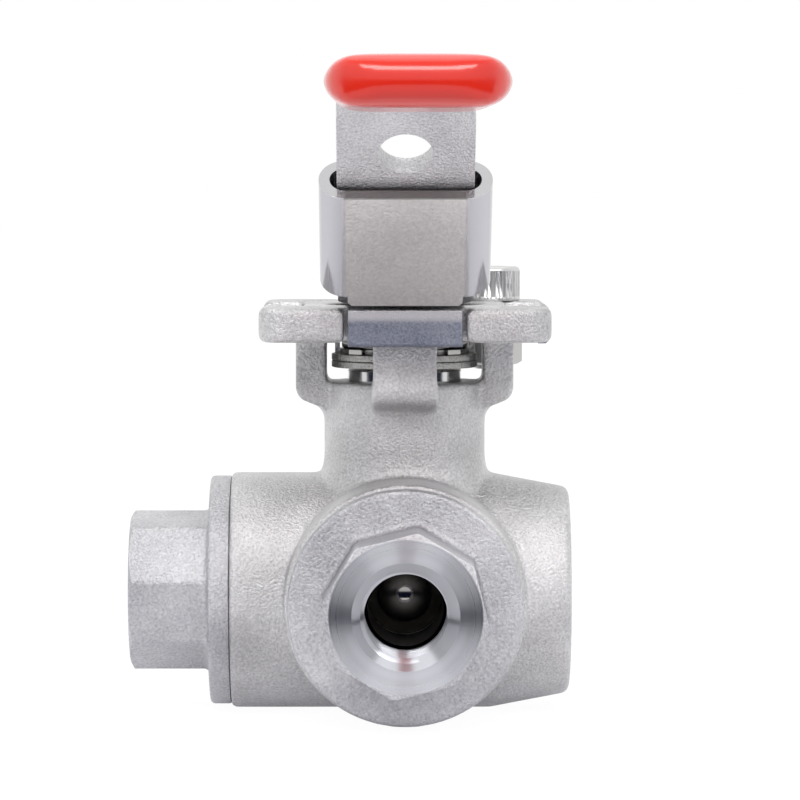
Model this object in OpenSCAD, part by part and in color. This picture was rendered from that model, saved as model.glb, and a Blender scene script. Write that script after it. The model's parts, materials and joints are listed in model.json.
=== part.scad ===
// Three-way ball valve with screwed end caps, a square mounting pad and a lever with a sliding lock.
// Origin: where the port axes meet the stem axis. +Z is up the stem, the front port faces -Y.
// Left, front and back ports are open. The right end of the casting is closed.

/* [Ball and seats] */
// Radius of the ball
ball_r = 10.6; // [10.2:0.1:11.2]
// Radius of the passage through the ball
ball_bore_r = 5.25; // [4.5:0.05:5.4]
// Angle from a port axis to the seat's contact with the ball
seat_angle = 42; // [41:0.5:43.5]
// Width of the seat's face outside its contact with the ball
seat_land = 0.6; // [0.3:0.05:0.6]
// Width by which a seat's hole is larger than the ball's passage
seat_relief = 0.15; // [0.1:0.05:0.4]
// Thickness of a seat ring along its port
seat_t = 3.8; // [3.3:0.1:4.2]
// Height that a seat stands out of its recess
seat_proud = 1.3; // [1.1:0.05:1.8]

/* [Body casting] */
// Room between the ball and the bore of the body
chamber_gap = 0.5; // [0.3:0.05:0.8]
// Step from the chamber bore out to the cap thread
thread_step = 1.9; // [1.5:0.1:2.4]
// Solid shoulder between the chamber and the cap threads
shoulder = 3.9; // [3.5:0.1:5]
// Length of the cap thread in the body
thread_len = 9.9; // [8:0.1:14]
// Wall of the barrels outside the cap thread
barrel_wall = 3.95; // [3:0.05:5]
// Distance from the stem axis to the closed right end
blind_end = 23.65; // [22:0.05:28]
// Radius of the closed end at its rim
blind_rim_r = 14.8; // [13:0.1:16]
// Distance from the stem axis to where the closed end starts to taper
blind_taper_x = 12.3; // [10:0.1:16]
// Depth of the dead passage behind the right seat
dead_depth = 6.9; // [4:0.1:8]
// Height of the neck above the barrels
neck_rise = 13.3; // [12:0.1:16]
// Wall of the neck around the packing
neck_wall = 3.3; // [2.8:0.1:5]
// Width of each yoke arm
arm_w = 9.0; // [7:0.1:11]
// Thickness of each yoke arm, outwards from the stem axis
arm_t = 4.4; // [3.5:0.1:4.6]

/* [Mounting pad] */
// Side of the square pad
pad_w = 41.2; // [40:0.1:46]
// Thickness of the pad
pad_t = 4.9; // [4:0.1:7]
// Height of the open windows between the neck and the pad
window_h = 6.2; // [5.6:0.1:8]
// Corner radius of the pad
pad_corner_r = 4; // [2:0.1:5]
// Spacing of the pad's holes, both ways
pad_hole_pitch = 25.46; // [25.3:0.01:26.5]
// Radius of the pad's holes
pad_hole_r = 2.75; // [2.6:0.05:3]
// Wall of the pad's ring behind each notch
ring_wall = 3.4; // [3:0.1:4.2]
// Width of the lock's tongue and of the catch below it
tongue_w = 16; // [13:0.1:16.4]
// Gap on each side of the catch and of the tongue
notch_gap = 0.55; // [0.3:0.05:0.7]
// Step on each side where a notch grows wider behind its mouth
pocket_step = 0.7; // [0.3:0.05:0.9]
// Lead-in chamfer on the notches' top edges
lead_in = 0.8; // [0.3:0.05:1]
// Chamfer on the corners of the tongue's end
tip_chamfer = 0.5; // [0.2:0.05:0.8]
// Depth that a catch hangs below the pad
catch_drop = 0.55; // [0.3:0.05:1.5]
// Thickness of a catch's front wall
catch_wall = 1.6; // [1.2:0.05:2]
// Thickness of a catch's floor
catch_floor = 1.0; // [0.8:0.1:1.6]

/* [End caps] */
// Distance by which a cap's flange stays inside the barrel's outline
flange_inset = 0.5; // [0.2:0.05:1]
// Thickness of a cap's flange
flange_t = 3.0; // [2:0.1:4]
// Width across the flats of a cap's octagon
octagon_af = 21.4; // [20:0.1:24]
// Length of a cap's octagon
octagon_len = 11.5; // [10:0.1:16]
// Radius of the port thread at its crests
port_r = 5.72; // [5.6:0.01:5.9]
// Depth of the port thread from the cap's face
port_depth = 12; // [9:0.1:13]
// Radius of the mouth chamfer at the cap's face
mouth_r = 7.4; // [6.8:0.05:8]
// Radius of the passage behind the port thread
flow_r = 5.3; // [4.8:0.05:5.4]
// Thickness of a cap's gasket
gasket_t = 1.2; // [0.8:0.1:2]

/* [Stem and packing] */
// Radius of the stem
stem_r = 6.0; // [5.6:0.05:6.3]
// Width by which the stem's collar stands out
collar_step = 1.4; // [1:0.05:1.8]
// Height of the stem's collar
collar_h = 1.9; // [1.5:0.1:2.2]
// Thickness of the thrust washer on the collar
thrust_t = 0.9; // [0.6:0.05:1.1]
// Width of the stem's tongue in the ball
drive_w = 5.5; // [4.5:0.05:6]
// Depth of the stem's tongue in the ball
drive_depth = 3.7; // [3:0.05:4]
// Height of the stem seal above the stem's shoulder
o_ring_up = 2.8; // [2:0.1:3.2]
// Radius of the stem seal's cord
o_ring_cord_r = 0.62; // [0.5:0.01:0.75]
// Width of the packing rings
packing_w = 2.25; // [2:0.05:2.6]
// Height of one packing ring
packing_ring_h = 2.7; // [2.2:0.1:3]
// Number of packing rings
packing_rings = 3; // [2:1:4]
// Length of the gland ring
gland_h = 4.3; // [3.6:0.1:5]
// Height that the gland ring shows above the neck
gland_proud = 1.7; // [1.4:0.1:2.2]
// Outer radius of the disc springs
spring_r = 10.5; // [10:0.05:10.8]
// Thickness of one disc spring
spring_t = 0.95; // [0.8:0.05:1.1]
// Height of a disc spring's cone
spring_cone = 0.2; // [0.1:0.05:0.3]
// Thickness of the tab washer
tab_t = 0.7; // [0.5:0.05:0.9]
// Radius of the tab washer inside its tabs
tab_root_r = 9.3; // [8.6:0.1:9.6]
// Width across the flats of the stem nut
stem_nut_af = 18; // [17:0.1:18.6]
// Height of the stem nut
stem_nut_h = 5.5; // [4.5:0.1:5.9]
// Width across the flats of the square on the stem
square_w = 9; // [8:0.1:9.8]
// Radius of the handle stud on top of the stem
stud_r = 4; // [3.5:0.1:4.3]

/* [Lever] */
// Thickness of the lever's plate
plate_t = 3; // [2.5:0.1:3.4]
// Gap between the pad and the lever's hub
hub_gap = 0.45; // [0.35:0.05:1]
// Length of the hub behind the stem axis
tail_len = 13.6; // [13:0.1:16]
// Slope of the riser
riser_angle = 45; // [42:0.5:48]
// Height of the grip bar above the hub
riser_rise = 28.3; // [27:0.1:34]
// Width of the grip bar
bar_w = 16.8; // [14:0.1:17.2]
// Distance from the stem axis to the tip of the grip
lever_reach = 116.8; // [95:0.1:130]
// Inner radius of the lever's bends
bend_r = 3; // [2:0.1:4]
// Radius of the padlock hole
padlock_r = 3.75; // [3:0.05:4]
// Distance from the lower bend to the padlock hole, along the riser
padlock_up = 29.13; // [28:0.1:30]
// Length of the grip
grip_len = 60.4; // [45:0.1:64]
// Width of the grip
grip_w = 22.6; // [21.5:0.1:25]
// Thickness of the grip
grip_t = 6.5; // [6:0.1:8]

/* [Lock sleeve] */
// Outer width of the sleeve
sleeve_w = 23.8; // [23.4:0.1:25]
// Outer thickness of the sleeve
sleeve_t = 7.2; // [7.1:0.1:7.8]
// Thickness of the sleeve's sheet
sheet_t = 1.5; // [1.2:0.05:1.6]
// Play between the riser and the sleeve on each side
sleeve_play = 1.0; // [0.3:0.05:1.4]
// Height of the sleeve's lower edge above the lower bend, along the riser
sleeve_foot = 3.15; // [3.1:0.05:4]
// Height of the sleeve's upper edge above the lower bend, along the riser
sleeve_top = 22.75; // [20:0.05:24]
// Distance that the sleeve drops into the pad to lock
lock_drop = 1.8; // [1.2:0.1:2]

/* [Handle and stop fasteners] */
// Thickness of the washer under the handle nut
washer_t = 1.6; // [1:0.1:2]
// Radius of the washer under the handle nut
washer_r = 8; // [7:0.1:8.3]
// Width across the flats of the handle nut
handle_nut_af = 13; // [12:0.1:14]
// Height of the handle nut
handle_nut_h = 6.5; // [5:0.1:7]
// Radius of the stop screw's head
screw_head_r = 4.25; // [4:0.05:4.4]
// Height of the stop screw's head
screw_head_h = 5; // [4.5:0.1:5]
// Radius of the stop screw's shank
screw_r = 2.5; // [2.3:0.05:2.55]
// Length of the stop screw below its head
screw_len = 10; // [9.6:0.1:14]
// Width across the flats of the stop screw's nut
screw_nut_af = 8; // [7.5:0.1:8.2]
// Height of the stop screw's nut
screw_nut_h = 4.4; // [3.5:0.1:4.7]

/* [Hidden] */
$fn = 96;
run_gap = 0.05;   // clearance where one piece turns or seats in another
fit_gap = 0.1;    // clearance round a screwed or sliding fit
stop_gap = 0.08;  // room left between the hub and the stop screw at either end of the turn
lift_gap = 0.3;   // height of the tongue's end and other passing edges above the pad

// Chamber, from the ball outwards
contact_r = ball_r * sin(seat_angle);
seat_r = contact_r + seat_land;
seat_in = ball_r * cos(seat_angle);
seat_back = seat_in + seat_t;
seat_hole_r = ball_bore_r + seat_relief;
chamber_r = ball_r + chamber_gap;
nose_z = seat_in + seat_proud;
nose_r = nose_z - lift_gap;
shank_z = max(chamber_r + 0.8, seat_back + 0.2);
thread_r = chamber_r + thread_step;
thread_z = chamber_r + shoulder;
joint_face = thread_z + thread_len;
barrel_r = thread_r + barrel_wall;
flange_r = barrel_r - flange_inset;
flange_face = joint_face + flange_t;
cap_face = flange_face + octagon_len;

// Stem column, from the chamber upwards
collar_z = ball_r + 0.3;
collar_r = stem_r + collar_step;
thrust_z = collar_z + collar_h + run_gap;
stem_shoulder = thrust_z + thrust_t + run_gap;
o_ring_z = stem_shoulder + o_ring_up;
packing_r = stem_r + packing_w;
neck_r = packing_r + neck_wall;
neck_top = barrel_r + neck_rise;
gland_top = neck_top + gland_proud;
packing_top = gland_top - gland_h;
packing_z = packing_top - packing_ring_h * packing_rings;
spring_z = gland_top + fit_gap;
tab_z = spring_z + 2 * (spring_t + run_gap) + spring_cone;
nut_z = tab_z + tab_t;
nut_top = nut_z + stem_nut_h;

// Yoke and pad
arm_in = spring_r + 0.7;
arm_out = arm_in + arm_t;
pad_z = neck_top + window_h;
pad_top = pad_z + pad_t;
hole_at = pad_hole_pitch / 2;
notch_w = tongue_w + 2 * notch_gap;
notch_floor = arm_in + ring_wall;
pocket_w = notch_w + 2 * pocket_step;
catch_back = pad_w / 2 - catch_wall - 0.1;   // inner face of a catch's wall, 0.1 behind the pad's side

// Lever: the riser starts where the sleeve's tongue comes down flush with the pad's side
ca = cos(riser_angle);
sa = sin(riser_angle);
hub_z = pad_top + hub_gap;
hub_mid = hub_z + plate_t / 2;
hub_half = hole_at - screw_head_r - stop_gap;
sleeve_half = sleeve_t / 2;
riser_w = sleeve_w - 2 * (sheet_t + sleeve_play);
tongue_z = pad_top + lift_gap;
side_inset = 0.15;
riser_y = pad_w / 2 - side_inset - sleeve_half * sa - (tongue_z - hub_mid + sleeve_half * ca) * ca / sa;
bar_mid = hub_mid + riser_rise;
bar_y = riser_y + riser_rise * ca / sa;
grip_y = lever_reach - grip_len;
bar_end = lever_reach - (grip_t - plate_t) / 2;
stud_z = hub_z + plate_t;
stud_top = stud_z + washer_t + handle_nut_h + 1;

// Points along an arc from angle a to angle b, about a centre
function arc(centre, r, a, b, steps = 10) =
    [for (i = [0:steps]) centre + r * [cos(a + (b - a) * i / steps), sin(a + (b - a) * i / steps)]];

// Turns a shape made along +Z to point out of a port
module to_left() { rotate([0, -90, 0]) children(); }
module to_right() { rotate([0, 90, 0]) children(); }
module to_front() { rotate([90, 0, 0]) children(); }
module to_back() { rotate([-90, 0, 0]) children(); }

// Stands a profile, drawn as distance to the front and height, in the plane of the lever, width w across
module across(w) {
    rotate([90, 0, -90]) linear_extrude(w, center = true) children();
}

// Moves a shape into the riser's frame: +Z up the riser, -Y out of its front face
module on_riser() {
    translate([0, -riser_y, hub_mid]) rotate([90 - riser_angle, 0, 0]) children();
}

// Casting

module barrels() {
    rim = 0.8;
    to_right() rotate_extrude() polygon([
        [0, -joint_face], [barrel_r - 0.3, -joint_face], [barrel_r, -joint_face + 0.3],
        [barrel_r, blind_taper_x], [blind_rim_r + 0.15, blind_end - rim],
        [blind_rim_r - 0.15, blind_end - rim / 3], [blind_rim_r - rim, blind_end], [0, blind_end]
    ]);
    to_back() cylinder(h = 2 * joint_face, r = barrel_r, center = true);
}

// The neck flares into the barrels
module neck() {
    flare_r = 9;
    flare_z = barrel_r + 3;
    rotate_extrude() polygon(concat(
        [[0, 0], [neck_r + flare_r * (1 - cos(60)), 0]],
        arc([neck_r + flare_r, flare_z], flare_r, 240, 180),
        [[neck_r, neck_top - 0.4], [neck_r - 0.4, neck_top], [0, neck_top]]
    ));
}

// One yoke arm, to the front: a side profile cut to a front outline with a round foot
module arm() {
    foot_z = neck_top - 5.4;
    shoulder_z = neck_top - 0.85;
    root = neck_r - 2;
    foot_r = 3;
    intersection() {
        across(arm_w) polygon([
            [root, foot_z], [neck_r + 0.3, foot_z], [arm_out, shoulder_z], [arm_out, pad_z],
            [notch_floor - 0.2, pad_z], [notch_floor - 0.2, pad_z + 1],
            [arm_in, pad_z + 1], [arm_in, neck_top], [root, neck_top]
        ]);
        rotate([90, 0, 0]) linear_extrude(arm_out + 1) union() {
            translate([0, (foot_z + foot_r + pad_z + 2) / 2])
                square([arm_w, pad_z + 2 - foot_z - foot_r], center = true);
            for (side = [-1, 1])
                translate([side * (arm_w / 2 - foot_r), foot_z + foot_r]) circle(foot_r);
            translate([0, foot_z + foot_r]) square([arm_w - 2 * foot_r, 2 * foot_r], center = true);
        }
    }
}

module pad_outline() {
    flat = pad_w - 2 * pad_corner_r;
    square([pad_w, flat], center = true);
    square([flat, pad_w], center = true);
    for (x = [-1, 1], y = [-1, 1]) translate([x, y] * flat / 2) circle(pad_corner_r);
}

// Section of the pad with its long edges broken
module pad_section() {
    c = 0.6;
    h = pad_w / 2;
    polygon([
        [-h, pad_z + c], [-h + c, pad_z], [h - c, pad_z], [h, pad_z + c],
        [h, pad_top - c], [h - c, pad_top], [-h + c, pad_top], [-h, pad_top - c]
    ]);
}

// Four lugs round a ring, with a notch in the middle of each side. A notch is wider behind its mouth.
module pad() {
    difference() {
        intersection() {
            translate([0, 0, pad_z]) linear_extrude(pad_t) pad_outline();
            rotate([90, 0, 0]) linear_extrude(pad_w, center = true) pad_section();
            rotate([90, 0, 90]) linear_extrude(pad_w, center = true) pad_section();
        }
        for (a = [0:90:270]) rotate([0, 0, a]) {
            translate([-notch_w / 2, notch_floor, pad_z - 1]) cube([notch_w, pad_w, pad_t + 2]);
            translate([-pocket_w / 2, notch_floor, pad_z - 1]) cube([pocket_w, catch_back - notch_floor, pad_t + 2]);
            rotate([90, 0, 180]) translate([0, 0, notch_floor]) linear_extrude(pad_w) polygon([
                [-notch_w / 2, pad_top - lead_in], [notch_w / 2, pad_top - lead_in],
                [notch_w / 2 + lead_in + 1, pad_top + 1], [-notch_w / 2 - lead_in - 1, pad_top + 1]
            ]);
        }
        for (x = [-1, 1], y = [-1, 1])
            translate([x * hole_at, y * hole_at, pad_z - 1]) cylinder(h = pad_t + 2, r = pad_hole_r);
    }
}

// A catch stands in the front notch and in the right one, on the arm's top. It leaves a pocket behind its wall,
// where the lock's tongue drops in, and its top slopes as the tongue does.
module lock_catch() {
    face = catch_back + catch_wall;
    back = catch_back;
    top = pad_top - 0.05;
    low = pad_z - catch_drop;
    seat_z = pad_z + run_gap;
    edge = 0.4;
    across(tongue_w) polygon([
        [notch_floor + run_gap, seat_z], [back, seat_z], [back, low], [face - edge, low], [face, low + edge],
        [face, top], [back, top - catch_wall * sa / ca],
        [back, seat_z + catch_floor], [notch_floor + run_gap, seat_z + catch_floor]
    ]);
}

module front_lock_catch() { color("#7f8694") lock_catch(); }
module right_lock_catch() { color("#7f8694") rotate([0, 0, 90]) lock_catch(); }

module body_cavity() {
    over = 1;
    to_left() cylinder(h = joint_face + over, r = chamber_r);
    to_back() cylinder(h = 2 * (joint_face + over), r = chamber_r, center = true);
    to_left() translate([0, 0, thread_z]) cylinder(h = thread_len + over, r = thread_r);
    to_front() translate([0, 0, thread_z]) cylinder(h = thread_len + over, r = thread_r);
    to_back() translate([0, 0, thread_z]) cylinder(h = thread_len + over, r = thread_r);
    to_right() cylinder(h = seat_back + run_gap, r = seat_r + run_gap);
    to_right() cylinder(h = seat_back + dead_depth, r = flow_r);
    cylinder(h = stem_shoulder, r = collar_r + fit_gap);
    cylinder(h = packing_z, r = stem_r + fit_gap);
    translate([0, 0, packing_z]) cylinder(h = neck_top - packing_z + over, r = packing_r);
    translate([0, 0, neck_top]) cylinder(h = pad_top - neck_top + over, r = arm_in);
}

module body() {
    color("#b9b8b4") difference() {
        union() {
            barrels();
            neck();
            pad();
            for (a = [0:90:270]) rotate([0, 0, a]) arm();
        }
        body_cavity();
    }
}

// End caps

// One cap along +Z: nose and thread in the body, flange, octagon and port. The octagon stops at its own angle.
module end_cap(turn) {
    corner_r = octagon_af / 2 / cos(22.5);
    break = 0.7;
    fillet = 0.5;
    difference() {
        union() {
            rotate_extrude() polygon([
                [0, nose_z], [nose_r, nose_z], [nose_r, shank_z], [chamber_r - fit_gap, shank_z],
                [chamber_r - fit_gap, thread_z + gasket_t], [thread_r - fit_gap, thread_z + gasket_t],
                [thread_r - fit_gap, joint_face], [flange_r - 0.3, joint_face], [flange_r, joint_face + 0.3],
                [flange_r, flange_face - 0.5], [flange_r - 0.5, flange_face], [0, flange_face]
            ]);
            intersection() {
                rotate([0, 0, turn]) union() {
                    translate([0, 0, flange_face - 1]) cylinder(h = octagon_len + 1, r = corner_r, $fn = 8);
                    translate([0, 0, flange_face])
                        cylinder(h = fillet, r1 = corner_r + fillet, r2 = corner_r, $fn = 8);
                }
                rotate_extrude() polygon([
                    [0, flange_face - 1], [corner_r + 2, flange_face - 1], [corner_r + 2, flange_face + 1],
                    [corner_r + 0.2, cap_face - break], [octagon_af / 2 - 0.15, cap_face], [0, cap_face]
                ]);
            }
        }
        rotate_extrude() polygon([
            [0, nose_z - 1], [seat_r + run_gap, nose_z - 1], [seat_r + run_gap, seat_back + run_gap],
            [flow_r, seat_back + run_gap], [flow_r, cap_face - port_depth],
            [port_r, cap_face - port_depth], [port_r, cap_face - (mouth_r - port_r)],
            [mouth_r, cap_face], [mouth_r + 1, cap_face + 1], [0, cap_face + 1]
        ]);
    }
}

module left_end_cap() { color("#c2c2be") to_left() end_cap(10.6); }
module front_end_cap() { color("#c2c2be") to_front() end_cap(36.5); }
module back_end_cap() { color("#c2c2be") to_back() end_cap(22.5); }

// Flat ring squeezed between the body's shoulder and the cap's thread
module cap_gasket() {
    translate([0, 0, thread_z]) difference() {
        cylinder(h = gasket_t, r = thread_r - fit_gap);
        translate([0, 0, -1]) cylinder(h = gasket_t + 2, r = chamber_r);
    }
}

module left_cap_gasket() { color("white") to_left() cap_gasket(); }
module front_cap_gasket() { color("white") to_front() cap_gasket(); }
module back_cap_gasket() { color("white") to_back() cap_gasket(); }

// Seats and ball

module seat() {
    difference() {
        translate([0, 0, seat_in]) cylinder(h = seat_t, r = seat_r);
        cylinder(h = seat_back + 1, r = seat_hole_r);
        sphere(ball_r + run_gap);
    }
}

module left_seat() { color("white") to_left() seat(); }
module front_seat() { color("white") to_front() seat(); }
module back_seat() { color("white") to_back() seat(); }
module right_seat() { color("white") to_right() seat(); }

// The passage is an L, here from the left port to the back port, with a slot on top for the stem
module ball() {
    past = 3;
    color("#d8d8d6") difference() {
        sphere(ball_r);
        to_left() translate([0, 0, -past]) cylinder(h = ball_r + past + 1, r = ball_bore_r);
        to_back() translate([0, 0, -past]) cylinder(h = ball_r + past + 1, r = ball_bore_r);
        translate([-drive_w / 2 - run_gap, -ball_r, ball_r - drive_depth - run_gap])
            cube([drive_w + 2 * run_gap, 2 * ball_r, drive_depth + 1]);
    }
}

// Stem and its seals

module stem() {
    groove_r = stem_r + run_gap - 2 * o_ring_cord_r;
    groove_h = 2.4 * o_ring_cord_r;
    color("#c8c8c6") difference() {
        union() {
            intersection() {
                translate([-drive_w / 2, -collar_r, ball_r - drive_depth])
                    cube([drive_w, 2 * collar_r, collar_z - ball_r + drive_depth + 0.5]);
                cylinder(h = collar_z + 1, r = collar_r);
            }
            translate([0, 0, collar_z]) cylinder(h = collar_h, r = collar_r);
            translate([0, 0, collar_z]) cylinder(h = nut_top - collar_z, r = stem_r);
            intersection() {
                translate([-square_w / 2, -square_w / 2, nut_top - 1])
                    cube([square_w, square_w, stud_z - nut_top + 0.8]);
                translate([0, 0, nut_top - 1]) cylinder(h = stud_z - nut_top + 2, r = stem_r);
            }
            translate([0, 0, nut_top]) cylinder(h = stud_top - nut_top, r = stud_r);
        }
        translate([0, 0, o_ring_z - groove_h / 2]) difference() {
            cylinder(h = groove_h, r = stem_r + 1);
            cylinder(h = groove_h, r = groove_r);
        }
    }
}

module stem_thrust_washer() {
    color("white") translate([0, 0, thrust_z]) difference() {
        cylinder(h = thrust_t, r = collar_r);
        translate([0, 0, -1]) cylinder(h = thrust_t + 2, r = stem_r + run_gap);
    }
}

module stem_o_ring() {
    color("#202020") translate([0, 0, o_ring_z]) rotate_extrude()
        translate([stem_r + run_gap - o_ring_cord_r, 0]) circle(o_ring_cord_r - 0.01);
}

// Chevron rings, one on the other, in the packing box
module stem_packing() {
    inner = stem_r + run_gap;
    outer = packing_r - run_gap;
    middle = (inner + outer) / 2;
    peak = 0.8;
    color("white") for (i = [0:packing_rings - 1])
        translate([0, 0, packing_z + i * packing_ring_h]) rotate_extrude() polygon([
            [inner, 0], [middle, i == 0 ? 0 : peak], [outer, 0],
            [outer, packing_ring_h - run_gap],
            [middle, packing_ring_h - run_gap + (i == packing_rings - 1 ? 0 : peak)],
            [inner, packing_ring_h - run_gap]
        ]);
}

module gland_ring() {
    color("#c8c8c6") rotate_extrude() polygon([
        [stem_r + run_gap, packing_top], [packing_r - run_gap, packing_top],
        [packing_r - run_gap, gland_top - 0.25], [packing_r - run_gap - 0.25, gland_top],
        [stem_r + run_gap, gland_top]
    ]);
}

// A coned washer, its inner edge lower than its rim
module disc_spring() {
    inner = stem_r + fit_gap;
    rotate_extrude() polygon([
        [inner, 0], [spring_r, spring_cone], [spring_r, spring_cone + spring_t], [inner, spring_t]
    ]);
}

module lower_disc_spring() { color("#a8a8a6") translate([0, 0, spring_z]) disc_spring(); }
module upper_disc_spring() {
    color("#a8a8a6") translate([0, 0, spring_z + spring_t + run_gap]) disc_spring();
}

// Star washer: tabs all round, the ones at the sides bent up against the nut
module tab_washer() {
    tab_r = spring_r - 0.1;
    tab_w = 2.6;
    bend_h = 1.5;
    color("#b4b4b2") translate([0, 0, tab_z]) difference() {
        union() {
            cylinder(h = tab_t, r = tab_root_r);
            for (a = [0:45:315]) rotate([0, 0, a])
                translate([tab_root_r - 1, -tab_w / 2, 0]) cube([tab_r - tab_root_r + 0.6, tab_w, tab_t]);
            for (side = [-1, 1])
                translate([side * (tab_r - 0.4 - tab_t / 2), 0, bend_h / 2])
                    cube([tab_t, tab_w, bend_h], center = true);
        }
        translate([0, 0, -1]) cylinder(h = tab_t + 2, r = stem_r + fit_gap);
    }
}

// A hexagon nut along +Z, its corners turned down at both ends, round a bore
module hex_nut(af, h, bore_r) {
    corner_r = af / 2 / cos(30);
    drop = (corner_r - af / 2 * 0.97) * tan(30);
    difference() {
        intersection() {
            cylinder(h = h, r = corner_r, $fn = 6);
            rotate_extrude() polygon([
                [0, 0], [af / 2 * 0.97, 0], [corner_r + 0.01, drop],
                [corner_r + 0.01, h - drop], [af / 2 * 0.97, h], [0, h]
            ]);
        }
        translate([0, 0, -1]) cylinder(h = h + 2, r = bore_r);
    }
}

// Two flats face the bent tabs
module stem_nut() {
    color("#b4b4b2") translate([0, 0, nut_z]) rotate([0, 0, 30])
        hex_nut(stem_nut_af, stem_nut_h, stem_r + run_gap);
}

// Lever

// Side profile of the bent plate, from the tail to the end of the grip bar
module lever_profile() {
    half = plate_t / 2;
    mid_r = bend_r + half;
    reach = mid_r * tan(riser_angle / 2);
    low = [riser_y - reach, hub_mid + mid_r];
    high = [bar_y + reach, bar_mid - mid_r];
    polygon(concat(
        [[-tail_len, hub_mid - half]],
        arc(low, mid_r + half, -90, riser_angle - 90),
        arc(high, mid_r - half, riser_angle + 90, 90),
        [[bar_end, bar_mid - half], [bar_end, bar_mid + half]],
        arc(high, mid_r + half, 90, riser_angle + 90),
        arc(low, mid_r - half, riser_angle - 90, -90),
        [[-tail_len, hub_mid + half]]
    ));
}

// Plan outline, as distance to the front and half width
module lever_plan() {
    foot = riser_y - 0.6;
    head = bar_y - 2.2;
    ease = 1.2;
    corner = 3;
    half = [
        [foot, hub_half], [foot + (riser_w / 2 - hub_half), riser_w / 2],
        each arc([head, riser_w / 2 - ease], ease, 90, 0, 6), [head + ease, bar_w / 2],
        each arc([bar_end - corner, bar_w / 2 - corner], corner, 90, 0, 6)
    ];
    tail = arc([-tail_len + corner, hub_half - corner], corner, 180, 90, 6);
    side = concat(tail, half);
    polygon(concat(side, [for (i = [len(side) - 1:-1:0]) [side[i][0], -side[i][1]]]));
}

module handle_lever() {
    color("#b4b3b0") difference() {
        intersection() {
            across(riser_w) lever_profile();
            rotate([0, 0, -90]) linear_extrude(bar_mid + plate_t) lever_plan();
        }
        translate([-square_w / 2 - run_gap, -square_w / 2 - run_gap, hub_z - 1])
            cube([square_w + 2 * run_gap, square_w + 2 * run_gap, plate_t + 2]);
        on_riser() translate([0, 0, padlock_up]) rotate([90, 0, 0])
            cylinder(h = 2 * plate_t, r = padlock_r, center = true);
    }
}

// Dipped vinyl grip round the bar, closed at the tip
module grip_section(w, t) {
    square([w - t, t], center = true);
    for (side = [-1, 1]) translate([side * (w - t) / 2, 0]) circle(t / 2);
}

module handle_grip() {
    tip_r = 8;
    nose = 3;
    half = grip_w / 2;
    side = concat([[grip_y, half]], arc([lever_reach - tip_r, half - tip_r], tip_r, 90, 0, 12));
    color("#e2402c") difference() {
        intersection() {
            translate([0, -grip_y, bar_mid]) rotate([90, 0, 0])
                linear_extrude(grip_len) grip_section(grip_w, grip_t);
            rotate([0, 0, -90]) translate([0, 0, bar_mid - grip_t]) linear_extrude(2 * grip_t)
                polygon(concat(side, [for (i = [len(side) - 1:-1:0]) [side[i][0], -side[i][1]]]));
            across(grip_w + 1) polygon(concat(
                [[grip_y, bar_mid - grip_t / 2]],
                arc([lever_reach - nose, bar_mid - grip_t / 2 + nose], nose, -90, 0, 8),
                arc([lever_reach - nose, bar_mid + grip_t / 2 - nose], nose, 0, 90, 8),
                [[grip_y, bar_mid + grip_t / 2]]
            ));
        }
        translate([-bar_w / 2 - run_gap, -bar_end - run_gap, bar_mid - plate_t / 2 - run_gap])
            cube([bar_w + 2 * run_gap, bar_end - grip_y + 1, plate_t + 2 * run_gap]);
    }
}

module handle_washer() {
    color("#c0c0be") translate([0, 0, stud_z]) difference() {
        cylinder(h = washer_t, r = washer_r);
        translate([0, 0, -1]) cylinder(h = washer_t + 2, r = stud_r + 0.2);
    }
}

module handle_nut() {
    color("#c0c0be") translate([0, 0, stud_z + washer_t]) hex_nut(handle_nut_af, handle_nut_h, stud_r + run_gap);
}

// Lock

module sleeve_outline(shrink) {
    grip_section(sleeve_w - 2 * shrink, sleeve_t - 2 * shrink);
}

// The tongue seen from the front, from its end up
module tongue_outline() {
    half = tongue_w / 2;
    polygon([
        [tip_chamfer - half, 0], [half - tip_chamfer, 0], [half, tip_chamfer],
        [half, tongue_w], [-half, tongue_w], [-half, tip_chamfer]
    ]);
}

// A flattened tube round the riser. Its front wall runs on as a tongue down to the pad.
// The back is cut higher at the foot, where it passes the stop screw.
module lock_sleeve() {
    back_foot = sleeve_foot + 2.6;
    below = 8;
    color("#a9a6a2") on_riser() difference() {
        union() {
            translate([0, 0, sleeve_foot]) linear_extrude(sleeve_top - sleeve_foot) sleeve_outline(0);
            intersection() {
                translate([-tongue_w / 2, -sleeve_half, sleeve_foot - below]) cube([tongue_w, sheet_t, below + 1]);
                rotate([riser_angle, 0, 0]) linear_extrude(4 * below, center = true)
                    translate([0, tongue_z - hub_mid]) tongue_outline();
            }
        }
        translate([0, 0, sleeve_foot - 1]) linear_extrude(sleeve_top - sleeve_foot + 2) sleeve_outline(sheet_t);
        translate([-sleeve_w, 0.4, sleeve_foot - 1]) cube([2 * sleeve_w, sleeve_t, back_foot - sleeve_foot + 1]);
        rotate([riser_angle - 90, 0, 0]) translate([-sleeve_w, -sleeve_w, tongue_z - hub_mid - 2 * below])
            cube([2 * sleeve_w, 2 * sleeve_w, 2 * below]);
    }
}

// Stop screw through the right back lug

module stop_screw() {
    socket_af = 4;
    rim = 0.4;
    color("#b0b0ae") translate([hole_at, hole_at, pad_top]) difference() {
        union() {
            rotate_extrude() polygon([
                [0, 0], [screw_head_r, 0], [screw_head_r, screw_head_h - rim],
                [screw_head_r - rim, screw_head_h], [0, screw_head_h]
            ]);
            translate([0, 0, -screw_len]) cylinder(h = screw_len, r = screw_r);
        }
        translate([0, 0, screw_head_h / 2])
            cylinder(h = screw_head_h, r = socket_af / 2 / cos(30), $fn = 6);
    }
}

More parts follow.
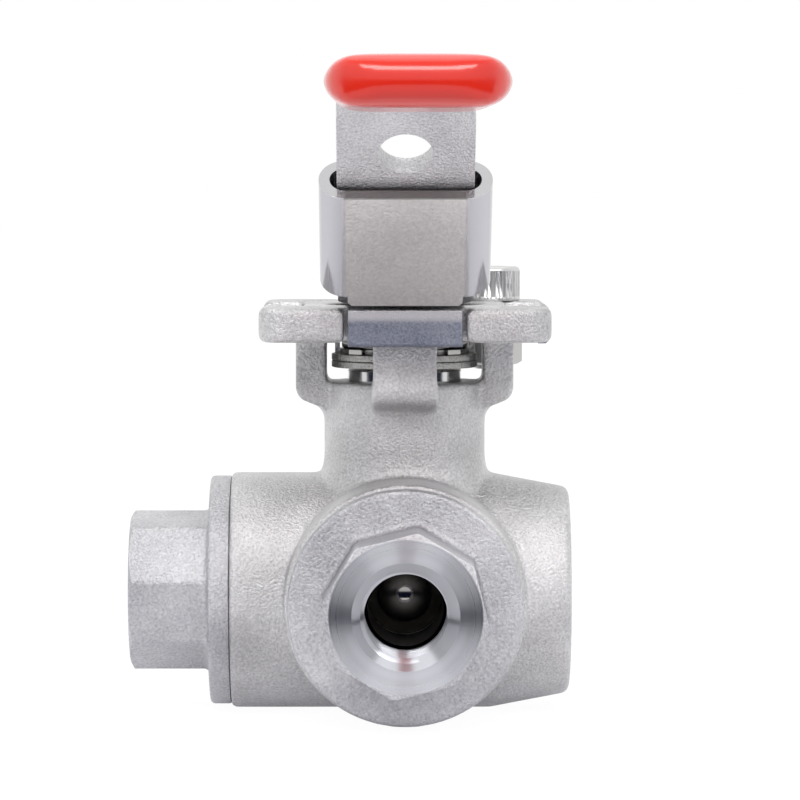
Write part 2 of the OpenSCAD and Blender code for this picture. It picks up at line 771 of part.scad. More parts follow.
module stop_screw_nut() {
    color("#b0b0ae") translate([hole_at, hole_at, pad_z - screw_nut_h])
        hex_nut(screw_nut_af, screw_nut_h, screw_r + run_gap);
}

body();
front_lock_catch();
right_lock_catch();
left_end_cap();
front_end_cap();
back_end_cap();
left_cap_gasket();
front_cap_gasket();
back_cap_gasket();
left_seat();
front_seat();
back_seat();
right_seat();
ball();
stem();
stem_thrust_washer();
stem_o_ring();
stem_packing();
gland_ring();
lower_disc_spring();
upper_disc_spring();
tab_washer();
stem_nut();
handle_lever();
handle_grip();
handle_washer();
handle_nut();
lock_sleeve();
stop_screw();
stop_screw_nut();
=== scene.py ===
import bmesh
import bpy
import json
import math
from mathutils import Matrix, Vector

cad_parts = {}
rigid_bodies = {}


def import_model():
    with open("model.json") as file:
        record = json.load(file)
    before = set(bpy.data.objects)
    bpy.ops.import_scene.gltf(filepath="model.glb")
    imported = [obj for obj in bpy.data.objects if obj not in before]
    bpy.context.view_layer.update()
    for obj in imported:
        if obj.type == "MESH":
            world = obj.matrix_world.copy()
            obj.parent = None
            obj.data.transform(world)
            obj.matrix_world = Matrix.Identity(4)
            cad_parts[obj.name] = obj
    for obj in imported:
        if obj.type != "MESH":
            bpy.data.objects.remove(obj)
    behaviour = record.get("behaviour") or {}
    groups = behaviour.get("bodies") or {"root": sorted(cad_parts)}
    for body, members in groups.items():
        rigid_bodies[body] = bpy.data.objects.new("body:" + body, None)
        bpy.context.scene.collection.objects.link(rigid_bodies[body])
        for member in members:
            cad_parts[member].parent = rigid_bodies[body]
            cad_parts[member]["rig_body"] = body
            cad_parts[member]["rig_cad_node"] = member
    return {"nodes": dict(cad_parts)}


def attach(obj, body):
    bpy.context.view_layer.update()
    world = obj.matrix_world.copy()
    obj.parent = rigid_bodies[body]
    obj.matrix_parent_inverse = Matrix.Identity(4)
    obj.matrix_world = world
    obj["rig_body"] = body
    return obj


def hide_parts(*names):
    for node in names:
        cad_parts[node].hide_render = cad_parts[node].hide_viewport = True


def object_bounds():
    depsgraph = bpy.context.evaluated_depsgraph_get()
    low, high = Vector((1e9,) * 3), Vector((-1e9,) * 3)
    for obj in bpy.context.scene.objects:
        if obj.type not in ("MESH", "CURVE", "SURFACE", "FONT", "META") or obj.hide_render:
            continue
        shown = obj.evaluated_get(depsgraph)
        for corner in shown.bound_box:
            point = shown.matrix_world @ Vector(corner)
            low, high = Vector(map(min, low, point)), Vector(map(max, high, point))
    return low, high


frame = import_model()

cad_box = [list(corner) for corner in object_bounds()]
scene = bpy.context.scene
scene.view_settings.view_transform = "Standard"

# The studio. A long lens looks along +Y at the front port from the height of the grip, tilted down a little.
# A pale table lies under the barrels. A wide softbox hangs above the lens and gives the streak on the grip.
lens_place = (-0.00315, -0.648, 0.0634)
lens_tilt = math.radians(86.82)
lens_pan = math.radians(-0.221)
table_size = 6
table_front = -0.13
table_gap = 0.0001
white = (1, 1, 1, 1)
smooth = {"interpolation_type": "SMOOTHSTEP"}


def linear(tone):
    """The linear colour of an sRGB hex value"""
    steps = [int(tone[i:i + 2], 16) / 255 for i in (1, 3, 5)]
    return tuple(c / 12.92 if c <= 0.04045 else ((c + 0.055) / 1.055) ** 2.4 for c in steps) + (1,)


def feed(node, **links):
    """Feeds the sockets of a node. A socket is named by its label, or by its number after an s.
    It takes a value, a socket, or a node, which stands for its own first socket."""
    for name, value in links.items():
        number = name[1:]
        socket = node.inputs[int(number)] if number.isdigit() else node.inputs[name.replace("_", " ")]
        if isinstance(value, bpy.types.Node):
            value = value.outputs[0]
        if isinstance(value, bpy.types.NodeSocket):
            node.id_data.links.new(value, socket)
        else:
            socket.default_value = value


def part(tree, kind, settings=None, **links):
    """Adds one node with its settings and links"""
    made = tree.nodes.new("ShaderNode" + kind)
    for name, value in (settings or {}).items():
        setattr(made, name, value)
    feed(made, **links)
    return made


def softbox(name, place, aim, width, height, watts):
    bpy.ops.object.light_add(type="AREA", location=place)
    lamp = bpy.context.object
    lamp.name = name
    lamp.data.shape = "RECTANGLE"
    lamp.data.size = width
    lamp.data.size_y = height
    lamp.data.energy = watts
    lamp.rotation_euler = (Vector(aim) - Vector(place)).to_track_quat("-Z", "Y").to_euler()


bpy.ops.object.camera_add(location=lens_place, rotation=(lens_tilt, 0, lens_pan))
lens = bpy.context.object
lens.name = "lens"
lens.data.sensor_width = 36
lens.data.lens = 202.5
lens.data.clip_start = 0.02
scene.camera = lens
softbox("key_softbox", place=(0, -0.56, 0.6), aim=(0, 0, 0.03), width=1.0, height=0.22, watts=4.6)
softbox("top_softbox", place=(0, 0.1, 0.7), aim=(0, 0, 0), width=0.7, height=0.5, watts=0.6)

# The table is white to the eye and, further off, to polished metal, but keeps a trace of the shadow
bpy.ops.mesh.primitive_plane_add(size=table_size, location=(0, 0, cad_box[0][2] - table_gap))
table = bpy.context.object
table.name = "table"
for corner in table.data.vertices:
    corner.co.y = max(corner.co.y, table_front)
table_top = bpy.data.materials.new("matt white laminate")
table_top.use_nodes = True
tree = table_top.node_tree
tree.nodes.clear()
rays = part(tree, "LightPath").outputs
seen = part(tree, "Math", {"operation": "MAXIMUM"}, s0=rays["Is Camera Ray"], s1=rays["Is Transmission Ray"])
where = part(tree, "TexCoord").outputs["Object"]
reach = part(tree, "VectorMath", {"operation": "LENGTH"}, s0=where).outputs["Value"]
fade = part(tree, "MapRange", smooth, s0=reach, s1=0.05, s2=0.3, s3=0.9, s4=1.0)
share = part(tree, "Math", {"operation": "MULTIPLY"}, s0=seen, s1=fade)
far = part(tree, "MapRange", smooth, s0=reach, s1=0.12, s2=0.4)
mirrored = part(tree, "Math", {"operation": "MULTIPLY"}, s0=rays["Is Glossy Ray"], s1=far)
share = part(tree, "Math", {"operation": "MAXIMUM"}, s0=share, s1=mirrored)
matt = part(tree, "BsdfDiffuse", Color=linear("#d6d6d8"))
glow = part(tree, "Emission", Color=linear("#f2f1f6"), Strength=0.26)
lit = part(tree, "AddShader", s0=matt, s1=glow)
plain_white = part(tree, "Emission", Color=white, Strength=1.04)
blend = part(tree, "MixShader", s0=share, s1=lit, s2=plain_white)
part(tree, "OutputMaterial", Surface=blend)
table.data.materials.append(table_top)

# The room: pale walls that grow darker overhead, and a white backdrop behind the object
wall_tones = ((0.3, "#d9d8de"), (0.45, "#dadadf"), (0.62, "#dcdce0"), (0.75, "#e6e6e8"), (0.88, "#c0c0c2"),
              (1.0, "#a4a4a6"))
room = bpy.data.worlds.new("studio")
scene.world = room
room.use_nodes = True
tree = room.node_tree
tree.nodes.clear()
way = part(tree, "TexCoord").outputs["Generated"]
axes = part(tree, "SeparateXYZ", Vector=way).outputs
height = part(tree, "MapRange", s0=axes["Z"], s1=-1.0, s2=1.0)
walls = part(tree, "ValToRGB", Fac=height)
stops = walls.color_ramp.elements
for number, (place, tone) in enumerate(wall_tones):
    stop = stops[number] if number < len(stops) else stops.new(place)
    stop.position = place
    stop.color = linear(tone)

# A dark band lies a little below the height of the lens, where the room is unlit
lowered = part(tree, "Math", {"operation": "ADD"}, s0=axes["Z"], s1=0.1)
level = part(tree, "Math", {"operation": "ABSOLUTE"}, s0=lowered)
gap = part(tree, "MapRange", s0=axes["Y"], s1=-0.85, s2=-0.2, s3=0.11, s4=0.1)
over = part(tree, "Math", {"operation": "SUBTRACT"}, s0=level, s1=gap)
open_part = part(tree, "MapRange", smooth, s0=over, s1=0.0, s2=0.06)
front = part(tree, "MixRGB", Fac=open_part, Color1=linear("#14172a"), Color2=walls)
behind = part(tree, "MapRange", smooth, s0=axes["Y"], s1=-0.1, s2=0.45)
backdrop = part(tree, "MixRGB", Fac=behind, Color1=front, Color2=white)
rays = part(tree, "LightPath").outputs
mirrored = part(tree, "Math", {"operation": "MAXIMUM"}, s0=rays["Is Glossy Ray"],
                s1=rays["Is Transmission Ray"])
beyond = part(tree, "Math", {"operation": "MULTIPLY"}, s0=mirrored, s1=behind)
seen = part(tree, "Math", {"operation": "MAXIMUM"}, s0=rays["Is Camera Ray"], s1=beyond)
room_light = part(tree, "Background", Color=backdrop, Strength=1.22)
plain_white = part(tree, "Background", Color=white, Strength=1.0)
shown = part(tree, "MixShader", s0=seen, s1=room_light, s2=plain_white)
part(tree, "OutputWorld", Surface=shown)

# The body: investment cast stainless steel, three barrels, a closed end, the neck and the yoke with its pad.
# Bead blasting leaves a matt, pale, warm grey with a fine grain, and every cast edge is rounded.
# The groove's outline is radii and heights in millimetres, and the foot's is steps outwards and upwards.
casting_voxel = 0.0004
casting_kept = 0.66
neck_r = 11.62
groove_low = 23.5
groove_out = 17
groove = [(neck_r, groove_low), (groove_out, groove_low), (groove_out, 28.4), (14.9, 27.6), (12.4, 26.6),
          (neck_r, 25.4)]
foot_w = 9.5
foot_in = 11
foot_low = 26.7
foot_steps = ((1.4, 0), (2.4, 1.0), (0.5, 0.6), (0.3, 0.8), (0, 1.1), (-4.6, 0))


def new_finish(name):
    """A new material, with its node tree and its shader"""
    finish = bpy.data.materials.new(name)
    finish.use_nodes = True
    return finish, finish.node_tree, finish.node_tree.nodes["Principled BSDF"]


def blasted_steel(name, tone, shade, grain, rough):
    """Stainless steel after bead blasting; grain is the size of one dimple in metres.
    Real dimples are too fine to show, so they are drawn a few times coarser."""
    skin_size = 0.0016
    cloud_size = 0.014
    finish, tree, steel = new_finish(name)
    where = part(tree, "TexCoord").outputs["Object"]
    dimples = part(tree, "TexNoise", Vector=where, Scale=1 / grain, Detail=3.0, Roughness=0.6).outputs["Fac"]
    skin = part(tree, "TexNoise", Vector=where, Scale=1 / skin_size, Detail=2.0).outputs["Fac"]
    clouds = part(tree, "TexNoise", Vector=where, Scale=1 / cloud_size, Detail=3.0).outputs["Fac"]
    mixed = part(tree, "Math", {"operation": "MULTIPLY_ADD"}, s0=clouds, s1=0.55, s2=-0.05)
    mixed = part(tree, "Math", {"operation": "MULTIPLY_ADD"}, s0=dimples, s1=0.7, s2=mixed)
    tones = part(tree, "ValToRGB", Fac=mixed)
    for stop, place, colour in zip(tones.color_ramp.elements, (0.4, 0.75), (shade, tone)):
        stop.position = place
        stop.color = linear(colour)
    sheen = part(tree, "MapRange", s0=dimples, s1=0.3, s2=0.7, s3=rough - 0.08, s4=rough + 0.1)
    fine = part(tree, "Bump", Strength=1.0, Distance=grain * 0.65, Height=dimples)
    coarse = part(tree, "Bump", Strength=0.5, Distance=0.00006, Height=skin, Normal=fine)
    feed(steel, Base_Color=tones, Roughness=sheen, Normal=coarse, Metallic=1.0)
    return finish


def pick(*pieces):
    """Selects these pieces alone, with the last one active"""
    bpy.ops.object.select_all(action="DESELECT")
    for piece in pieces:
        piece.select_set(True)
    bpy.context.view_layer.objects.active = pieces[-1]


def copied(node, name):
    """A merged copy of a CAD node, to be dressed"""
    twin = frame["nodes"][node].copy()
    twin.data = twin.data.copy()
    twin.parent = None
    twin.name = name
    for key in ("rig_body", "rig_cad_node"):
        if key in twin:
            del twin[key]
    scene.collection.objects.link(twin)
    twin.data.materials.clear()
    pick(twin)
    bpy.ops.object.mode_set(mode="EDIT")
    bpy.ops.mesh.select_all(action="SELECT")
    bpy.ops.mesh.remove_doubles(threshold=0.000002)
    bpy.ops.object.mode_set(mode="OBJECT")
    return twin


def smooth_shaded(piece, angle):
    """Shades the piece smooth, but for edges that turn by more than the angle in degrees"""
    pick(piece)
    bpy.ops.object.shade_smooth_by_angle(angle=math.radians(angle))


def finish_with(piece, kind, **settings):
    """Adds a modifier to the piece and applies it"""
    bpy.context.view_layer.objects.active = piece
    step = piece.modifiers.new("step", kind)
    for name, value in settings.items():
        setattr(step, name, value)
    bpy.ops.object.modifier_apply(modifier=step.name)


def start_outline(name, x, y, z):
    """A new mesh of a single point at a place in millimetres, left in edit mode for an outline to be drawn"""
    bpy.ops.object.select_all(action="DESELECT")
    bpy.ops.mesh.primitive_plane_add(size=0.001, location=(0, 0, 0))
    piece = bpy.context.object
    piece.name = name
    bpy.ops.object.mode_set(mode="EDIT")
    bpy.ops.mesh.select_mode(type="VERT")
    bpy.ops.mesh.select_all(action="SELECT")
    bpy.ops.mesh.merge(type="CENTER")
    bpy.ops.transform.translate(value=(x / 1000, y / 1000, z / 1000))
    return piece


def extrude_by(x, y, z):
    """Extrudes what is selected, by millimetres along each axis"""
    bpy.ops.mesh.extrude_region_move(TRANSFORM_OT_translate={"value": (x / 1000, y / 1000, z / 1000)})


def spun(name, section):
    """A solid spun about Z from its half section, a radius and a height in millimetres at each point.
    A section that starts and ends on the axis is left open along it."""
    radius, height = section[0]
    piece = start_outline(name, radius, 0, height)
    on_axis = radius == 0
    for r, z in section[1:] if on_axis else section[1:] + section[:1]:
        extrude_by(r - radius, 0, z - height)
        radius, height = r, z
    bpy.ops.mesh.select_all(action="SELECT")
    bpy.ops.mesh.remove_doubles(threshold=0.000001)
    bpy.ops.mesh.select_all(action="SELECT")
    bpy.ops.mesh.spin(steps=128, angle=math.radians(360), center=(0, 0, 0), axis=(0, 0, 1))
    bpy.ops.mesh.select_all(action="SELECT")
    bpy.ops.mesh.remove_doubles(threshold=0.000001)
    bpy.ops.mesh.select_all(action="SELECT")
    bpy.ops.mesh.normals_make_consistent(inside=False)
    bpy.ops.object.mode_set(mode="OBJECT")
    return piece


def cut_by(piece, tool, operation="DIFFERENCE"):
    finish_with(piece, "BOOLEAN", operation=operation, object=tool, solver="EXACT")
    bpy.data.objects.remove(tool)


casting = blasted_steel("bead blasted cast stainless steel", "#e3e2e2", "#acabac", 0.00036, 0.42)
body = copied("body", "valve_casting")

# Each arm of the yoke ends in a square foot on the neck. A groove frees the place and four blocks fill it.
cut_by(body, spun("groove", groove))
feet = []
for quarter in range(4):
    foot = start_outline("foot", foot_in, -foot_w / 2, foot_low)
    for r, z in foot_steps:
        extrude_by(r, 0, z)
    bpy.ops.mesh.select_all(action="SELECT")
    bpy.ops.mesh.edge_face_add()
    extrude_by(0, foot_w, 0)
    bpy.ops.mesh.select_all(action="SELECT")
    bpy.ops.mesh.normals_make_consistent(inside=False)
    bpy.ops.object.mode_set(mode="OBJECT")
    foot.data.transform(Matrix.Rotation(math.radians(90 * quarter), 4, "Z"))
    feet.append(foot)
pick(*feet, body)
bpy.ops.object.join()
finish_with(body, "REMESH", mode="VOXEL", voxel_size=casting_voxel)
finish_with(body, "SMOOTH", factor=0.5, iterations=9)

# Two thirds of the faces show the same forms and stay under 200,000 triangles
finish_with(body, "DECIMATE", ratio=casting_kept)
body.data.materials.append(casting)
smooth_shaded(body, 60)
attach(body, "valve_body")
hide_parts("body")

# The lock catches: two small steel blocks that stand in the front notch and the right one of the pad.
# Their face is finely blasted and blue-grey, with a painted highlight along the top. The tongue drops in
# behind it.
catch_edge = 0.00025
catch_lip = 0.0005
top_highlight_from = 0.0391
top_highlight_to = 0.0402
# The blue-grey of this face is partly painted shade, put into its colour
catch_steel = blasted_steel("fine blasted stainless steel, blue-grey", "#9fa3ae", "#6c7180", 0.0003, 0.42)
tree = catch_steel.node_tree
where = part(tree, "TexCoord").outputs["Object"]
up = part(tree, "SeparateXYZ", Vector=where).outputs["Z"]
# Painted highlight: the top of the face is mixed towards a pale grey
painted_top_highlight = part(tree, "MapRange", smooth, s0=up, s1=top_highlight_from, s2=top_highlight_to)
highlit_tone = part(tree, "MixRGB", Fac=painted_top_highlight, Color1=tree.nodes["Color Ramp"], Color2=linear("#bebec1"))
feed(tree.nodes["Principled BSDF"], Base_Color=highlit_tone)


def softened(node, name, finish, bodyname, width, rounded=None):
    """A copy of a CAD node with its sharp edges rounded off, in the place of that node.
    The edge that lies furthest in the direction of rounded gets a radius of its own."""
    piece = copied(node, name)
    bpy.ops.object.mode_set(mode="EDIT")
    bpy.ops.mesh.dissolve_limited(angle_limit=math.radians(0.5))
    if rounded:
        direction, radius = rounded
        close = 0.0001
        bpy.ops.mesh.select_mode(type="EDGE")
        bpy.ops.mesh.select_all(action="DESELECT")
        shape = bmesh.from_edit_mesh(piece.data)
        furthest = max(corner.co.dot(Vector(direction)) for corner in shape.verts)
        for edge in shape.edges:
            edge.select = all(corner.co.dot(Vector(direction)) > furthest - close for corner in edge.verts)
        bmesh.update_edit_mesh(piece.data)
        bpy.ops.mesh.bevel(offset=radius, segments=8, affect="EDGES")
    bpy.ops.object.mode_set(mode="OBJECT")
    finish_with(piece, "BEVEL", width=width, segments=3, limit_method="ANGLE", angle_limit=math.radians(32))
    piece.data.materials.append(finish)
    smooth_shaded(piece, 35)
    finish_with(piece, "WEIGHTED_NORMAL", keep_sharp=True)
    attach(piece, bodyname)
    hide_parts(node)
    return piece


for side, outwards in (("front", (0, -1, 1)), ("right", (1, 0, 1))):
    softened(side + "_lock_catch", side + "_catch_block", catch_steel, "valve_body", catch_edge,
             rounded=(outwards, catch_lip))

# The ball and its seats: a ground and polished stainless ball between four white PTFE rings.
# Through the front port the ball shows as a black mirror with the mouth of the port in it.


def bare_steel(name, tone, rough, depth=0.000004):
    """Stainless steel with a plain machined or ground skin; depth is that of its marks in metres"""
    mark_size = 0.0004
    haze_size = 0.006
    finish, tree, steel = new_finish(name)
    where = part(tree, "TexCoord").outputs["Object"]
    marks = part(tree, "TexNoise", Vector=where, Scale=1 / mark_size, Detail=4.0, Roughness=0.65)
    haze = part(tree, "TexNoise", Vector=where, Scale=1 / haze_size, Detail=2.0)
    sheen = part(tree, "MapRange", s0=haze.outputs["Fac"], s1=0.3, s2=0.7, s3=rough * 0.92, s4=rough * 1.1)
    relief = part(tree, "Bump", Strength=0.6, Distance=depth, Height=marks.outputs["Fac"])
    feed(steel, Base_Color=linear(tone), Roughness=sheen, Normal=relief, Metallic=1.0)
    return finish


def dress(finish, *nodes):
    for node in nodes:
        mesh = frame["nodes"][node].data
        mesh.materials.clear()
        mesh.materials.append(finish)


dress(bare_steel("polished stainless steel, ball", "#a8a5a0", 0.06, depth=0.000001), "ball")

# Turned PTFE is a warm white with a waxy gloss, a little cloudy
cloud_size = 0.002
ptfe, tree, resin = new_finish("virgin PTFE, turned")
where = part(tree, "TexCoord").outputs["Object"]
waxy = part(tree, "TexNoise", Vector=where, Scale=1 / cloud_size, Detail=3.0).outputs["Fac"]
tones = part(tree, "ValToRGB", Fac=waxy)
for stop, colour in zip(tones.color_ramp.elements, ("#e6e4dd", "#f4f3ef")):
    stop.color = linear(colour)
feed(resin, Base_Color=tones, Roughness=0.42, IOR=1.38)
dress(ptfe, "left_seat", "front_seat", "back_seat", "right_seat", "left_cap_gasket", "front_cap_gasket",
      "back_cap_gasket", "stem_thrust_washer", "stem_packing")

# The end caps: cast octagons with a flange, screwed into three barrels. The face, its rim and the mouth of
# the G 1/4 port are turned, which leaves fine rings that fan the light out. The rest is blasted as the body
# is. Outlines are radii and heights in millimetres, from the middle of the ball along the axis of the port.
cap_face = 39.4
tool_end = cap_face + 1
flange_r = 16.45
flange_front = 27.9
flange_back = 24.9
plug_r = 12.9
plug_start = 16.2
spigot_r = 11.0
spigot_start = 11.9
nose_r = 8.88
nose_start = 9.18
core_r = 4
cap_section = [
    (core_r, nose_start), (nose_r, nose_start), (nose_r, spigot_start), (spigot_r, spigot_start),
    (spigot_r, plug_start), (plug_r, plug_start), (plug_r, flange_back), (flange_r - 0.25, flange_back),
    (flange_r - 0.07, flange_back + 0.07), (flange_r, flange_back + 0.25), (flange_r, flange_front - 0.6),
    (flange_r - 0.05, flange_front - 0.35), (flange_r - 0.2, flange_front - 0.14),
    (flange_r - 0.4, flange_front - 0.03), (flange_r - 0.65, flange_front), (core_r, flange_front)]
octagon_low = 28.9
octagon_half = 10.7
octagon_corner_r = 11.582
octagon_edge = 0.0005
foot_flare = ((0.35, 0.08), (0.3, 0.28), (0.22, 0.55), (0.13, 1.0), (0.6, 1.0))
chamfer_out = 13.0
chamfer = [(8.79, tool_end), (chamfer_out, 38.008), (chamfer_out, tool_end)]
seat_pocket_r = 7.743
seat_pocket_end = 11.73
drill_r = 5.3
drill_end = 26.8
tap_r = 5.72
tap_start = 27.4
mouth_r = 7.4
bore_start = 8
bore = [
    (0, bore_start), (seat_pocket_r, bore_start), (seat_pocket_r, seat_pocket_end),
    (drill_r, seat_pocket_end), (drill_r, drill_end), (tap_r, tap_start), (tap_r, cap_face - mouth_r + tap_r),
    (mouth_r, cap_face), (mouth_r + 1, tool_end), (0, tool_end)]
thread_pitch = 0.001337
thread_section = ((5.5, -0.52), (6.42, -0.07), (6.42, 0.07), (5.5, 0.52))
thread_start = 0.0282


def turned_steel(name, axis, tone, rough):
    """Turned stainless steel with tool marks 0.2 mm apart round an axis through the origin"""
    ring_gap = 0.0002
    band_gap = 0.0011
    finish, tree, steel = new_finish(name)
    where = part(tree, "TexCoord").outputs["Object"]
    along = {"X": (1, 0, 0), "Y": (0, 1, 0), "Z": (0, 0, 1)}[axis]
    flat = tuple(1 - c for c in along)
    radial = part(tree, "VectorMath", {"operation": "MULTIPLY"}, s0=where, s1=flat)
    radius = part(tree, "VectorMath", {"operation": "LENGTH"}, s0=radial).outputs["Value"]
    axial = part(tree, "VectorMath", {"operation": "DOT_PRODUCT"}, s0=where, s1=along).outputs["Value"]
    path = part(tree, "Math", {"operation": "ADD"}, s0=radius, s1=axial)
    line = {"noise_dimensions": "1D"}
    rings = part(tree, "TexNoise", line, W=path, Scale=1 / ring_gap, Detail=3.0).outputs["Fac"]
    bands = part(tree, "TexNoise", line, W=path, Scale=1 / band_gap, Detail=2.0).outputs["Fac"]
    tones = part(tree, "ValToRGB", Fac=bands)
    for stop, place, share in zip(tones.color_ramp.elements, (0.3, 0.7), (0.93, 1)):
        stop.position = place
        stop.color = [c * share for c in linear(tone)[:3]] + [1]
    sheen = part(tree, "MapRange", s0=rings, s1=0.3, s2=0.7, s3=rough - 0.03, s4=rough + 0.03)
    relief = part(tree, "Bump", Strength=0.5, Distance=0.000003, Height=rings)
    round_it = part(tree, "Tangent", {"direction_type": "RADIAL", "axis": axis})
    feed(steel, Base_Color=tones, Roughness=sheen, Normal=relief, Tangent=round_it, Metallic=1.0,
         Anisotropic=1.0, Anisotropic_Rotation=0.25)
    return finish


cap_blank = spun("cap_blank", cap_section)
bpy.ops.mesh.primitive_cylinder_add(vertices=8, radius=octagon_corner_r / 1000,
                                    depth=(cap_face - octagon_low) / 1000,
                                    location=(0, 0, (cap_face + octagon_low) / 2000))
octagon = bpy.context.object
bpy.ops.object.transform_apply(location=True, rotation=True, scale=True)
bpy.ops.object.mode_set(mode="EDIT")
bpy.ops.mesh.select_mode(type="EDGE")
bpy.ops.mesh.select_all(action="DESELECT")
shape = bmesh.from_edit_mesh(octagon.data)
for edge in shape.edges:
    edge.select = abs(edge.verts[0].co.z - edge.verts[1].co.z) > 0.001
bmesh.update_edit_mesh(octagon.data)
bpy.ops.mesh.bevel(offset=octagon_edge, segments=4, affect="EDGES")
bpy.ops.mesh.select_mode(type="FACE")
bpy.ops.mesh.select_all(action="DESELECT")
shape = bmesh.from_edit_mesh(octagon.data)
for face in shape.faces:
    face.select = face.normal.z < -0.9
bmesh.update_edit_mesh(octagon.data)
width = octagon_half
for drop, spread in foot_flare:
    grown = (octagon_half + spread) / width
    width = octagon_half + spread
    extrude_by(0, 0, -drop)
    bpy.ops.transform.resize(value=(grown, grown, 1))
bpy.ops.object.mode_set(mode="OBJECT")
cut_by(octagon, spun("facing_tool", chamfer))
cut_by(cap_blank, octagon, "UNION")
cut_by(cap_blank, spun("bore_tool", bore))

# The port thread is a groove that is cut from inside the mouth
bpy.ops.mesh.primitive_circle_add(vertices=4, radius=0.0005, fill_type="NOTHING")
tap = bpy.context.object
bpy.ops.object.mode_set(mode="EDIT")
shape = bmesh.from_edit_mesh(tap.data)
shape.verts.ensure_lookup_table()
for corner, (r, z) in zip(shape.verts, thread_section):
    corner.co = (r / 1000, 0, z / 1000)
bmesh.update_edit_mesh(tap.data)
bpy.ops.mesh.select_all(action="SELECT")
bpy.ops.mesh.edge_face_add()
bpy.ops.object.mode_set(mode="OBJECT")
tap.data.transform(Matrix.Translation((0, 0, thread_start)))
finish_with(tap, "SCREW", angle=math.radians(360), screw_offset=thread_pitch, iterations=8, steps=72,
            use_normal_calculate=True)
pick(tap)
bpy.ops.object.mode_set(mode="EDIT")
bpy.ops.mesh.select_all(action="SELECT")
bpy.ops.mesh.remove_doubles(threshold=0.000001)
bpy.ops.mesh.fill_holes(sides=4)
bpy.ops.mesh.select_all(action="SELECT")
bpy.ops.mesh.normals_make_consistent(inside=False)
bpy.ops.object.mode_set(mode="OBJECT")
cut_by(cap_blank, tap)

cap_casting = blasted_steel("cast stainless steel cap, blasted", "#dadadc", "#a4a4a8", 0.00036, 0.42)
# The drilled bore deep inside each cap is coloured near black: painted shade in the recess
bore_shade_steel = bare_steel("drilled stainless steel, painted dark as shade in the bore", "#2a2725", 0.3)
turned = {}
for axis in ("X", "Y"):
    turned[axis] = turned_steel("turned stainless steel, rings round " + axis, axis, "#cacbd0", 0.3)

# Each cap is laid down by a turn about one axis, after a turn about its own that sets the octagon's corners
places = {"left": ("X", "Y", -90, 10.6), "front": ("Y", "X", 90, 36.5), "back": ("Y", "X", -90, 22.5)}
for side, (port_axis, hinge, laid, clocked) in places.items():
    cap = cap_blank.copy()
    cap.data = cap_blank.data.copy()
    cap.name = side + "_cap"
    scene.collection.objects.link(cap)
    cap.data.materials.clear()
    for finish in (cap_casting, turned[port_axis], bore_shade_steel):
        cap.data.materials.append(finish)
    for face in cap.data.polygons:
        middle = face.center * 1000
        reach = math.hypot(middle.x, middle.y)
        machined = middle.z > cap_face - 0.02 or reach < mouth_r + 0.1 or middle.z < flange_back + 0.1
        # Faces in the drilled bore take the painted shade
        in_drill = reach < drill_r + 0.3 and middle.z < tap_start + 0.1
        face.material_index = 2 if in_drill else int(machined)
    turn = Matrix.Rotation(math.radians(laid), 4, hinge) @ Matrix.Rotation(math.radians(clocked), 4, "Z")
    cap.data.transform(turn)
    smooth_shaded(cap, 25)
    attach(cap, "valve_body")
    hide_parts(side + "_end_cap")
bpy.data.objects.remove(cap_blank)

# The stem and what lies on it, from the collar up: the O-ring, the gland ring, two disc springs, the tab
# washer and the stem nut. The gland ring is ground bright, and the springs are tumbled to a fine grain.
spring_edge = 0.00016
sheet_edge = 0.00012
nut_edge = 0.0002
dress(bare_steel("turned stainless steel bar", "#bdbcb9", 0.25), "stem")
dress(bare_steel("ground stainless steel, gland ring", "#d0d0d0", 0.1, depth=0.000002), "gland_ring")

# Moulded nitrile rubber is black and dull, with a faint grey bloom
bloom_size = 0.0005
rubber, tree, compound = new_finish("nitrile rubber, moulded")
where = part(tree, "TexCoord").outputs["Object"]
bloom = part(tree, "TexNoise", Vector=where, Scale=1 / bloom_size, Detail=3.0).outputs["Fac"]
tones = part(tree, "ValToRGB", Fac=bloom)
for stop, colour in zip(tones.color_ramp.elements, ("#151515", "#2a2a2a")):
    stop.color = linear(colour)
feed(compound, Base_Color=tones, Roughness=0.55)
dress(rubber, "stem_o_ring")
spring_steel = blasted_steel("stainless spring steel, tumbled", "#cfcecb", "#94938f", 0.00035, 0.33)
for level in ("lower", "upper"):
    softened(level + "_disc_spring", level + "_spring_washer", spring_steel, "stem_and_lever", spring_edge)
sheet_steel = bare_steel("pressed stainless sheet", "#bebdba", 0.24)
softened("tab_washer", "star_tab_washer", sheet_steel, "stem_and_lever", sheet_edge)
nut_steel = bare_steel("stainless steel nut, satin", "#bdbcba", 0.27)
softened("stem_nut", "stem_hex_nut", nut_steel, "stem_and_lever", nut_edge)

# The lever: one bent plate of 3 mm, blasted all over, with a round hole for a padlock in its riser.
# It is held on the stem by a flat washer and a hexagon nut.
lever_edge = 0.00035
washer_edge = 0.00015
lever_steel = blasted_steel("blasted stainless plate", "#e6e5e6", "#a9a8aa", 0.00034, 0.42)
softened("handle_lever", "bent_lever", lever_steel, "stem_and_lever", lever_edge)
softened("handle_washer", "handle_flat_washer", sheet_steel, "stem_and_lever", washer_edge)
softened("handle_nut", "handle_hex_nut", nut_steel, "stem_and_lever", nut_edge)

